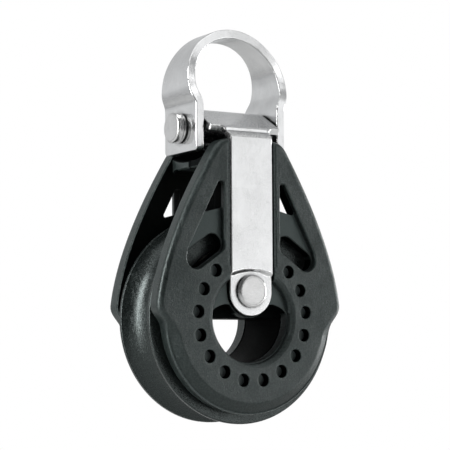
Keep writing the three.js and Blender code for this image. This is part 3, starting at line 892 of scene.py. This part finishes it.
# %% [markdown]
# ## To their places
# The rear cheek is a copy of the front one, turned round. Every piece is then scaled down
# from the bench, moved to the axle's place in the frame, and hung from the moving body it
# rides on, and the imported nodes it stands for are hidden.

# %% Turning the rear cheek
rear_cheek = copy_of(cheek, "rear_cheek_moulding")
bpy.ops.transform.rotate(value=math.pi, orient_axis="Z", center_override=(0, 0, 0))
bpy.ops.object.transform_apply(location=True, rotation=True, scale=True)
print("rear cheek reaches Y =", round(max(corner.co.y for corner in rear_cheek.data.vertices), 2))


# %% From the bench to the frame
def in_place(piece, body, slot, *nodes):
    only(piece)
    bpy.ops.transform.resize(value=(MM, MM, MM), center_override=(0, 0, 0))
    bpy.ops.transform.translate(value=axle)
    bpy.ops.object.transform_apply(location=True, rotation=True, scale=True)
    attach(piece, body)
    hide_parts(*nodes)
    low = [round(min(corner.co[i] for corner in piece.data.vertices), 4) for i in range(3)]
    high = [round(max(corner.co[i] for corner in piece.data.vertices), 4) for i in range(3)]
    print(piece.name, low, high)


in_place(cheek, "block_frame", "cheek_nylon", "front_cheek")
in_place(rear_cheek, "block_frame", "cheek_nylon", "rear_cheek")
in_place(inner_race, "block_frame", "cheek_nylon", "inner_race")
in_place(sheave, "sheave", "sheave_nylon", "sheave")
in_place(strap, "block_frame", "strap_steel", "head_strap")
in_place(rivet, "block_frame", "strap_steel", "rivet")
in_place(collar, "block_frame", "strap_steel", "rivet_collar")
in_place(shackle, "shackle", "shackle_steel", "shackle")
in_place(pin, "pin", "shackle_steel", "shackle_pin")
for node, ball in balls.items():
    in_place(ball, "ball_rows", "acetal", node)

# %% [markdown]
# ## Finishes
# No surface of a used block is one colour. Moulded nylon has a fine grain from the mould,
# cloudy variation from the glass fibre in it, and paler edges where it has been rubbed,
# which also serve as a painted highlight along its rounded edges. Polished steel has
# hairline scratches and soft dents that make reflections wander. Both are darkened where
# two pieces meet and in hollows, as painted shade. Each of these effects is built once, as
# a group of nodes with its own sizes, and the materials below mix them. All patterns use
# object coordinates, so they stay fixed to the piece when it moves.

# %% Making and linking nodes
def effect(name, inputs, outputs):
    """A new node group with its input and output sockets."""
    group = bpy.data.node_groups.new(name, "ShaderNodeTree")
    for label, value in inputs.items():
        kind = "NodeSocketVector" if isinstance(value, tuple) else "NodeSocketFloat"
        group.interface.new_socket(name=label, in_out="INPUT", socket_type=kind).default_value = value
    for label in outputs:
        group.interface.new_socket(name=label, in_out="OUTPUT", socket_type="NodeSocketFloat")
    return group, group.nodes.new("NodeGroupInput"), group.nodes.new("NodeGroupOutput")


def wire(tree, source, made, socket):
    """Links source, which is (node, output), to an input of a node."""
    tree.links.new(source[0].outputs[source[1]], made.inputs[socket])


def node(tree, kind, values=None, **settings):
    """A node with its settings. Each input gets a value, or a link from (node, output)."""
    made = tree.nodes.new("ShaderNode" + kind)
    for key, value in settings.items():
        setattr(made, key, value)
    for key, value in (values or {}).items():
        if isinstance(value, tuple) and isinstance(value[0], bpy.types.Node):
            wire(tree, value, made, key)
        else:
            made.inputs[key].default_value = value
    return made


# %% [markdown]
# Each of the next helpers makes one node and gives back its output, ready to be linked.

# %% Nodes that many effects use
def object_mm(tree):
    """Object coordinates in millimetres."""
    place = (node(tree, "TexCoord"), "Object")
    return node(tree, "Mapping", {"Vector": place, "Scale": (1 / MM, 1 / MM, 1 / MM)}), "Vector"


def scaled(tree, place, factor):
    return node(tree, "VectorMath", {0: place, "Scale": factor}, operation="SCALE"), "Vector"


def noise(tree, place, detail, roughness, distortion=0.0):
    values = {"Vector": place, "Scale": 1.0, "Detail": detail, "Roughness": roughness, "Distortion": distortion}
    return node(tree, "TexNoise", values), "Fac"


def stretch(tree, source, low, high, to_low=0.0, to_high=1.0):
    """A map range from low..high, clamped."""
    values = {"Value": source, "From Min": low, "From Max": high, "To Min": to_low, "To Max": to_high}
    return node(tree, "MapRange", values), "Result"


def sums(tree, operation, *inputs, **settings):
    """One step of arithmetic."""
    return node(tree, "Math", dict(enumerate(inputs)), operation=operation, **settings), "Value"


print("node helpers are ready")

# %% [markdown]
# The grain is two layers of noise: a sharp one at a fraction of a millimetre, which is
# the mould's spark-eroded texture, and a broader one that keeps it from looking like a
# printed pattern. It gives a height for the bump, and a speckle for colour and gloss.

# %% Moulded grain
grain, grain_in, grain_out = effect("moulded grain", {"Grains per mm": 3.0}, ["Height", "Speckle"])
sized = scaled(grain, object_mm(grain), (grain_in, "Grains per mm"))
fine = noise(grain, sized, 3.0, 0.6)
pits = node(grain, "TexVoronoi", {"Vector": sized, "Scale": 1.3, "Randomness": 1.0}, feature="SMOOTH_F1")
wire(grain, sums(grain, "MULTIPLY_ADD", (pits, "Distance"), 0.45, fine), grain_out, "Height")
wire(grain, stretch(grain, fine, 0.42, 0.66), grain_out, "Speckle")
print("grain:", len(grain.nodes), "nodes")

# %% [markdown]
# Rubbed edges are found by looking into the material: near a convex edge, a short ray
# sent inwards soon comes out again. The mask is then broken up by noise, because wear is
# never an even line. The paler colour laid there is wear and also a painted highlight.

# %% Rubbed edges and a painted highlight
# The edge mask lays wear and a painted highlight on convex edges.
rub_and_highlight, rub_and_highlight_in, rub_and_highlight_out = effect("rubbed and highlighted edges", {"Width": 0.0005, "Patches per mm": 1.2}, ["Rub"])
inward = node(rub_and_highlight, "AmbientOcclusion", {"Distance": (rub_and_highlight_in, "Width")}, samples=6, inside=True)
edge_mask = stretch(rub_and_highlight, (inward, "AO"), 0.97, 0.55)
patches = noise(rub_and_highlight, scaled(rub_and_highlight, object_mm(rub_and_highlight), (rub_and_highlight_in, "Patches per mm")), 5.0, 0.7)
broken = stretch(rub_and_highlight, patches, 0.36, 0.62)
wire(rub_and_highlight, sums(rub_and_highlight, "MULTIPLY", edge_mask, broken, use_clamp=True), rub_and_highlight_out, "Rub")
print("rub:", len(rub_and_highlight.nodes), "nodes")

# %% [markdown]
# The colour is darkened where pieces meet and in hollows, as painted shade. The same
# kind of ray, sent outwards, finds those places.

# %% Painted shade in corners
# Darkens the colour in corners and hollows: painted shade.
corner_shade, corner_shade_in, corner_shade_out = effect("painted corner shade", {"Reach": 0.0008}, ["Dirt"])
outward = node(corner_shade, "AmbientOcclusion", {"Distance": (corner_shade_in, "Reach")}, samples=6)
wire(corner_shade, stretch(corner_shade, (outward, "AO"), 0.85, 0.25), corner_shade_out, "Dirt")
print("dirt:", len(corner_shade.nodes), "nodes")

# %% [markdown]
# Handling leaves two marks: broad cloudy patches where the surface is a little more or
# less polished, and hairline scratches in every direction. A scratch is the thin band
# where a stretched noise passes through its middle value.

# %% Marks of handling
SCRATCH_WAYS = [  # how each set of scratches is turned, and how far its noise is squeezed
    ((0.3, 0.5, 0.9), (9, 0.5, 0.5)),
    ((1.1, 0.2, 2.2), (0.5, 0.6, 8)),
    ((2.0, 1.2, 0.4), (7, 0.4, 0.7)),
]
handling, handling_in, handling_out = effect(
    "handling", {"Clouds per mm": 0.15, "Scratches per mm": 0.5}, ["Clouds", "Scratches"],
)
base = object_mm(handling)
broad = scaled(handling, base, (handling_in, "Clouds per mm"))
clouds = stretch(handling, noise(handling, broad, 4.0, 0.55, 0.4), 0.3, 0.7)
wire(handling, clouds, handling_out, "Clouds")
close = scaled(handling, base, (handling_in, "Scratches per mm"))
sets = []
for turn, squeeze in SCRATCH_WAYS:
    lay = node(handling, "Mapping", {"Vector": close, "Rotation": turn, "Scale": squeeze})
    off_middle = sums(handling, "SUBTRACT", noise(handling, (lay, "Vector"), 2.0, 0.5), 0.5)
    sets.append(stretch(handling, sums(handling, "ABSOLUTE", off_middle), 0.012, 0.0))
all_sets = sums(handling, "MAXIMUM", sums(handling, "MAXIMUM", sets[0], sets[1]), sets[2])
wire(handling, sums(handling, "MULTIPLY", all_sets, clouds), handling_out, "Scratches")
print("handling:", len(handling.nodes), "nodes")

# %% [markdown]
# Sheet steel is polished with a belt, so its finest lines run along the strip. The noise
# is squeezed across the strip and stretched along it. A second, much broader noise gives
# the soft dents that bending leaves, which is what makes steel's reflections wander.

# %% Polished sheet
sheet, sheet_in, sheet_out = effect(
    "polished sheet", {"Lines": (9.0, 0.35, 0.35), "Dents per mm": 0.3}, ["Lines", "Dents"],
)
base = object_mm(sheet)
drawn = node(sheet, "VectorMath", {0: base, 1: (sheet_in, "Lines")}, operation="MULTIPLY")
wire(sheet, noise(sheet, (drawn, "Vector"), 5.0, 0.65), sheet_out, "Lines")
wide = scaled(sheet, base, (sheet_in, "Dents per mm"))
wire(sheet, noise(sheet, wide, 1.5, 0.45), sheet_out, "Dents")
print("sheet:", len(sheet.nodes), "nodes")


# %% Placing effects in a material
def material(name):
    made = bpy.data.materials.new(name)
    made.use_nodes = True
    tree = made.node_tree
    return made, tree, tree.nodes["Principled BSDF"]


def placed(tree, group, **values):
    made = tree.nodes.new("ShaderNodeGroup")
    made.node_tree = group
    for key, value in values.items():
        made.inputs[key.replace("_", " ")].default_value = value
    return made


def tinted(tree, mask, under, over):
    """Mixes from one colour to another by a mask. Each is a colour or an output."""
    return node(tree, "Mix", {0: mask, 6: under, 7: over}, data_type="RGBA"), 2


def summed(tree, *parts):
    """Adds masks, each (node, output, weight)."""
    total = 0.0
    for source, output, weight in parts:
        total = sums(tree, "MULTIPLY_ADD", (source, output), weight, total)
    return total


def overlaid(tree, colour, *marks):
    """Lays marks over a colour, each (node, output, weight, the mark's colour)."""
    for source, output, weight, over in marks:
        colour = tinted(tree, summed(tree, (source, output, weight)), colour, over)
    return colour


def bumped(tree, height, surface, strength, depth_mm):
    values = {"Height": height, "Strength": strength, "Distance": depth_mm * MM}
    wire(tree, (node(tree, "Bump", values), "Normal"), surface, "Normal")


print("ready for materials")

# %% [markdown]
# ### Nylon
# The cheeks are glass-filled nylon: near black, a little green, with a satin face. The
# floors of the pockets and ports get paler copies of it, as painted light on the floors.
# The walls inside the cheeks and the ports, and the inner race, get a darker, duller copy,
# as painted shade. The sheave is the same family of material but smoother.

# %% Moulded nylon
# The colour laid in corners and hollows is painted shade.
NYLON_CORNER_SHADE = (0.0008, 0.001, 0.0011, 1)
NYLON_TINT = (0.88, 1.0, 0.985, 1)


def nylon(name, colour, pale, worn_and_highlight, rough, grains, width_mm, shade_reach_mm=1.2, speck=0.5, bump=0.6, ior=1.53):
    """Three colours, the roughness, grains per mm, the width of rubbed and highlighted edges and the reach of the
    painted shade.
    """
    made, tree, surface = material(name)
    grained = placed(tree, grain, Grains_per_mm=grains)
    handled = placed(tree, handling, Clouds_per_mm=0.16, Scratches_per_mm=0.55)
    rubbed_and_highlighted = placed(tree, rub_and_highlight, Width=width_mm * MM, Patches_per_mm=1.6)
    corner_shading = placed(tree, corner_shade, Reach=shade_reach_mm * MM)
    clouded = tinted(tree, (handled, "Clouds"), colour, pale)
    # The worn colour is wear and a painted highlight; the corner colour is painted shade.
    marked = overlaid(
        tree, clouded, (grained, "Speckle", speck, worn_and_highlight), (handled, "Scratches", 0.3, worn_and_highlight),
        (rubbed_and_highlighted, "Rub", 0.85, worn_and_highlight), (corner_shading, "Dirt", 0.8, NYLON_CORNER_SHADE),
    )
    wire(tree, marked, surface, "Base Color")
    gloss = summed(
        tree, (grained, "Speckle", 0.12), (handled, "Clouds", 0.08), (rubbed_and_highlighted, "Rub", -0.16), (corner_shading, "Dirt", 0.2),
    )
    wire(tree, stretch(tree, gloss, -0.1, 0.3, rough - 0.1, rough + 0.3), surface, "Roughness")
    surface.inputs["IOR"].default_value = ior
    surface.inputs["Specular Tint"].default_value = NYLON_TINT
    height = summed(tree, (grained, "Height", 1.0), (handled, "Scratches", -0.6))
    bumped(tree, height, surface, bump, 0.03)
    print(name, len(tree.nodes), "nodes")
    return made


cheek_nylon = nylon(
    "cheek_nylon", (0.0012, 0.003, 0.0027, 1), (0.003, 0.0065, 0.006, 1), (0.075, 0.092, 0.089, 1),
    0.27, 2.8, 0.5, speck=0.22, bump=1.0,
)
# A paler copy for the pocket floors: painted light.
lit_floor_nylon = nylon(
    "lit_pocket_nylon", (0.030, 0.042, 0.041, 1), (0.042, 0.055, 0.053, 1), (0.06, 0.072, 0.07, 1),
    0.28, 4.0, 0.2, shade_reach_mm=0.3, speck=0.2,
)
# A darker, duller copy for walls inside holes and for the inner race: painted shade.
shaded_inner_nylon = nylon(
    "shaded_inner_nylon", (0.0006, 0.0009, 0.0009, 1), (0.0012, 0.0018, 0.0018, 1), (0.006, 0.008, 0.008, 1),
    0.50, 2.6, 0.2, shade_reach_mm=4.0, speck=0.1, ior=1.12,
)
# A paler copy for the port floors: painted light.
lit_port_nylon = nylon(
    "lit_port_nylon", (0.075, 0.092, 0.09, 1), (0.10, 0.12, 0.118, 1), (0.12, 0.14, 0.138, 1),
    0.30, 4.0, 0.1, shade_reach_mm=0.2, speck=0.2,
)
sheave_nylon = nylon(
    "sheave_nylon", (0.001, 0.0022, 0.002, 1), (0.003, 0.005, 0.0047, 1), (0.045, 0.055, 0.053, 1),
    0.17, 3.4, 0.4, shade_reach_mm=2.0, speck=0.12,
)

# %% Acetal for the balls
acetal, tree, surface = material("acetal")
handled = placed(tree, handling, Clouds_per_mm=0.8, Scratches_per_mm=1.5)
grained = placed(tree, grain, Grains_per_mm=6.0)
clouded = tinted(tree, (handled, "Clouds"), (0.80, 0.78, 0.72, 1), (0.88, 0.86, 0.81, 1))
wire(tree, clouded, surface, "Base Color")
wire(tree, stretch(tree, (grained, "Speckle"), 0.0, 1.0, 0.22, 0.36), surface, "Roughness")
bumped(tree, summed(tree, (grained, "Height", 0.6), (handled, "Scratches", -0.5)), surface, 0.25, 0.01)
print(acetal.name, len(tree.nodes), "nodes")

# %% [markdown]
# ### Steel
# The strap and the shackle are stainless sheet, polished until they reflect softly. Their
# colour is nearly white, and what the eye sees is mostly the light around them. So the
# roughness, the lines of the belt and the dents matter more than the colour.

# %% Polished steel
BELT_GREY = (0.5, 0.5, 0.49, 1)
# The colour laid where steel pieces meet is painted shade.
STEEL_CORNER_SHADE = (0.10, 0.10, 0.10, 1)
BUMP_MM = 0.02


def steel(name, bright, dull, rough, lines, dents, dent_mm, shade_reach_mm=0.9):
    """Two colours, the roughness, lines per mm each way, dents per mm and their depth, and the reach of the
    painted shade.
    """
    made, tree, surface = material(name)
    polished = placed(tree, sheet, Lines=lines, Dents_per_mm=dents)
    handled = placed(tree, handling, Clouds_per_mm=0.22, Scratches_per_mm=0.8)
    corner_shading = placed(tree, corner_shade, Reach=shade_reach_mm * MM)
    clouded = tinted(tree, (handled, "Clouds"), bright, dull)
    # The corner colour here is painted shade.
    marked = overlaid(tree, clouded, (polished, "Lines", 0.22, BELT_GREY), (corner_shading, "Dirt", 0.75, STEEL_CORNER_SHADE))
    wire(tree, marked, surface, "Base Color")
    surface.inputs["Metallic"].default_value = 1.0
    gloss = summed(tree, (polished, "Lines", 0.16), (handled, "Clouds", 0.05), (handled, "Scratches", 0.12))
    wire(tree, stretch(tree, gloss, 0.0, 0.4, rough - 0.06, rough + 0.34), surface, "Roughness")
    height = summed(
        tree, (polished, "Dents", dent_mm / BUMP_MM), (polished, "Lines", 0.10), (handled, "Scratches", -0.10),
    )
    bumped(tree, height, surface, 1.0, BUMP_MM)
    print(name, len(tree.nodes), "nodes")
    return made


strap_steel = steel(
    "strap_steel", (0.86, 0.865, 0.87, 1), (0.78, 0.785, 0.79, 1),
    0.20, (6.0, 0.3, 0.3), 0.22, 0.028, shade_reach_mm=1.9,
)
shackle_steel = steel(
    "shackle_steel", (0.83, 0.835, 0.84, 1), (0.73, 0.735, 0.74, 1),
    0.14, (0.3, 6.0, 0.3), 0.26, 0.11, shade_reach_mm=1.3,
)
turned_steel = steel(
    "turned_steel", (0.74, 0.74, 0.74, 1), (0.63, 0.63, 0.63, 1), 0.18, (1.2, 1.2, 1.2), 0.5, 0.02,
)


# %% [markdown]
# A cheek has four finishes, and each face gets its own by where it is: the flat floors of
# pockets and ports get paler copies as painted light, the walls inside a port or behind the
# pockets and the inner faces get a darker copy as painted shade, and all the rest is plain.

# %% Putting the finishes on
def finished(piece, *materials):
    piece.data.materials.clear()
    for made in materials:
        piece.data.materials.append(made)


LIT_POCKET_SLOT, SHADED_SLOT, LIT_PORT_SLOT = 1, 2, 3


# Floors get paler copies as painted light; walls in holes get the darker copy as painted shade.
def cheek_slot(face):
    """Which finish a face of a cheek has, or 0 for the plain moulding."""
    depth = abs(face.center.y) / MM
    spot = Vector((face.center.x, face.center.z - axle[2])) / MM
    faces_out = face.normal.y * face.center.y > 0
    faces_in = face.normal.y * face.center.y < 0
    flat_floor = abs(depth - POCKET_FLOOR) < 0.05 or abs(depth - (CHEEK_FACE - 1.55)) < 0.09
    in_port = depth < CHEEK_FACE - 0.1 and min((spot - Vector(place)).length for place in port_places) < 1.22
    pocket_reach = 14.6 - 0.42 * max(0, spot.y - 10)
    through_wall = depth < POCKET_FLOOR - 0.25 and abs(face.normal.y) < 0.5
    through_wall = through_wall and 1 < spot.y < 26.2 and abs(spot.x) < pocket_reach
    if faces_out and abs(face.normal.y) > 0.95 and flat_floor:
        return LIT_PORT_SLOT if in_port else LIT_POCKET_SLOT
    if in_port or through_wall or (depth < CHEEK_INNER + 0.02 and faces_in):
        return SHADED_SLOT
    return 0


for moulding in (cheek, rear_cheek):
    finished(moulding, cheek_nylon, lit_floor_nylon, shaded_inner_nylon, lit_port_nylon)
    for face in moulding.data.polygons:
        face.material_index = cheek_slot(face)
    slots = [face.material_index for face in moulding.data.polygons]
    print(moulding.name, "faces for each finish:", [slots.count(k) for k in range(4)])
# The inner race gets the darker copy all over: painted shade.
finished(inner_race, shaded_inner_nylon)
finished(sheave, sheave_nylon)
finished(strap, strap_steel)
finished(shackle, shackle_steel)
for piece in (rivet, collar, pin):
    finished(piece, turned_steel)
for ball in balls.values():
    finished(ball, acetal)
print("every piece has its finish")

# %% [markdown]
# ## Light, floor and camera
# The block hangs in an even white studio. A broad soft light stands ahead and to the
# right, where the strap's face reflects it and turns almost white. Narrow ones on the
# left draw the bright lines along the cheek's rounded edge and down the rope groove. The
# surroundings are darker towards the ground and ahead, which gives the steel its greys.

# %% A plain pale floor
FLOOR_GAP = 0.08
nothing_selected()
bpy.ops.mesh.primitive_plane_add(size=2.4, location=(0, 0, packed_box[0].z - FLOOR_GAP))
studio_floor = bpy.context.object
studio_floor.name = "studio_floor"
paper, tree, surface = material("studio_paper")
surface.inputs["Base Color"].default_value = (0.70, 0.70, 0.695, 1)
surface.inputs["Roughness"].default_value = 0.9
place = (node(tree, "TexCoord"), "Object")
away = (node(tree, "VectorMath", {0: place}, operation="LENGTH"), "Value")
wire(tree, stretch(tree, away, 0.95, 0.3), surface, "Alpha")
finished(studio_floor, paper)
print("floor at", round(studio_floor.location.z, 4))

# %% The surroundings
AHEAD_LEFT = (-0.51, -0.85, 0.0)
world = bpy.data.worlds.new("studio")
bpy.context.scene.world = world
world.use_nodes = True
tree = world.node_tree
tree.nodes.clear()
place = (node(tree, "TexCoord"), "Generated")
up = (node(tree, "SeparateXYZ", {"Vector": place}), "Z")
lower = sums(tree, "MULTIPLY", stretch(tree, up, -0.6, 0.1, 0.08, 0.58), stretch(tree, up, 0.15, 0.75, 1.0, 0.68))
ahead = (node(tree, "VectorMath", {0: place, 1: AHEAD_LEFT}, operation="DOT_PRODUCT"), "Value")
level = sums(tree, "MULTIPLY", lower, stretch(tree, ahead, -0.3, 0.7, 1.25, 0.20))
around = node(tree, "Background", {"Color": (0.98, 0.99, 1.0, 1), "Strength": level})
seen = node(tree, "Background", {"Color": (1, 1, 1, 1), "Strength": 1.0})
path = node(tree, "LightPath")
choice = node(tree, "MixShader", {
    "Fac": (path, "Is Camera Ray"), 1: (around, "Background"), 2: (seen, "Background"),
})
node(tree, "OutputWorld", {"Surface": (choice, "Shader")})
print("surroundings:", len(tree.nodes), "nodes")

# %% Soft lights
middle_of_block = (Vector(packed_box[0]) + Vector(packed_box[1])) / 2


def soft_light(name, azimuth, elevation, distance, width, height, power):
    """A soft box. Azimuth 0 is straight ahead of the block, and 90 is on its right."""
    a, e = math.radians(azimuth), math.radians(elevation)
    back = Vector((math.sin(a) * math.cos(e), -math.cos(a) * math.cos(e), math.sin(e)))
    bpy.ops.object.light_add(type="AREA", location=middle_of_block + back * distance)
    lamp = bpy.context.object
    lamp.name = name
    lamp.rotation_euler = back.to_track_quat("Z", "Y").to_euler()
    lamp.data.shape = "RECTANGLE"
    lamp.data.size, lamp.data.size_y = width, height
    lamp.data.energy = power


nothing_selected()
soft_light("light_ahead_right", 45, 2, 0.6, 0.5, 0.6, 0.74)
soft_light("light_high_ahead", 27, 35, 0.6, 0.16, 0.18, 0.13)
soft_light("light_low_ahead", 33, -14, 0.45, 0.3, 0.10, 0.19)
soft_light("light_left", -90, 8, 0.7, 0.18, 0.9, 8.4)
soft_light("light_right", 88, -4, 0.7, 0.25, 0.5, 3.4)
soft_light("light_above", -70, 70, 0.9, 0.5, 0.5, 0.9)
print("six soft lights")

# %% The camera
LENS_MM = 129.5
LEAN = math.radians(-0.32)
look_at = Vector((-0.00002, 0, packed_box[0].z + 0.0382))
lens_place = Vector((-0.16154, -0.26810, packed_box[0].z + 0.01303))
bpy.ops.object.camera_add(location=lens_place)
camera = bpy.context.object
camera.data.sensor_width = 36
camera.data.lens = LENS_MM
aim = (look_at - lens_place).to_track_quat("-Z", "Y")
camera.rotation_mode = "QUATERNION"
camera.rotation_quaternion = aim @ Quaternion((0, 0, 1), LEAN)
camera.data.clip_start = 0.01
bpy.context.scene.camera = camera
bpy.context.scene.view_settings.view_transform = "Standard"
print("camera at", tuple(round(v, 4) for v in camera.location))

# %% [markdown]
# ## The end
# The finer pieces have to fill the same box as the imported model.

# %% Bringing the scene up to date
bpy.context.view_layer.update()
